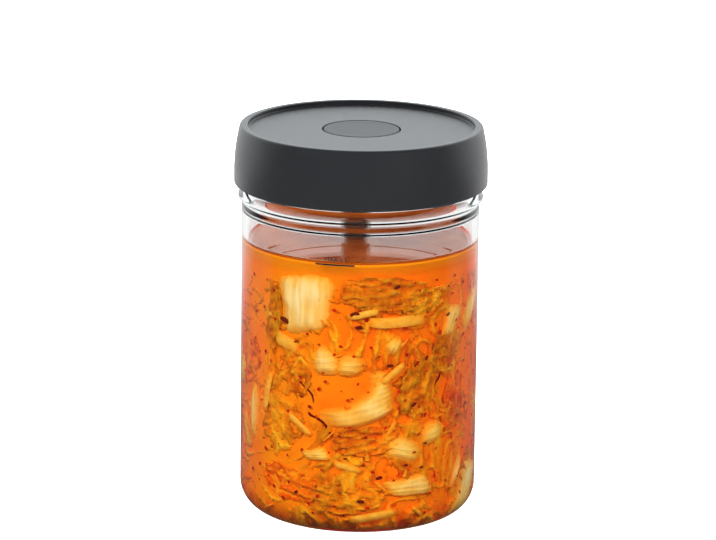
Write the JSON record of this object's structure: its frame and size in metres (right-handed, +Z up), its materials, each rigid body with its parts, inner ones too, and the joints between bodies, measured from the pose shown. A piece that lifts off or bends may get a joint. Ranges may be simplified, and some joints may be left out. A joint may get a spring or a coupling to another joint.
{
  "type": "fermentation jar",
  "caption": "Round clear glass fermentation jar packed with kimchi cabbage in orange brine, with a dark screw lid, a flush round vent and a steel presser stem.",
  "frame": {"origin": "centre of the jar's base, on the surface that it stands on", "axes": "+Z up along the jar's axis, -Y the front with the fill line, +X to the right seen from the front"},
  "size_m": [0.1148, 0.1148, 0.179],
  "materials": {
    "glass": "clear, polished",
    "lid_plastic": "satin black, fine moulded grain",
    "vent_plastic": "satin black silicone",
    "steel": "brushed",
    "kimchi": "wet cabbage in orange brine"
  },
  "bodies": {
    "root": {"jar": "glass", "lid": "lid_plastic", "vent": "vent_plastic", "stem_collar": "steel", "stem_rod": "steel", "kimchi": "kimchi"}
  },
  "joints": []
}
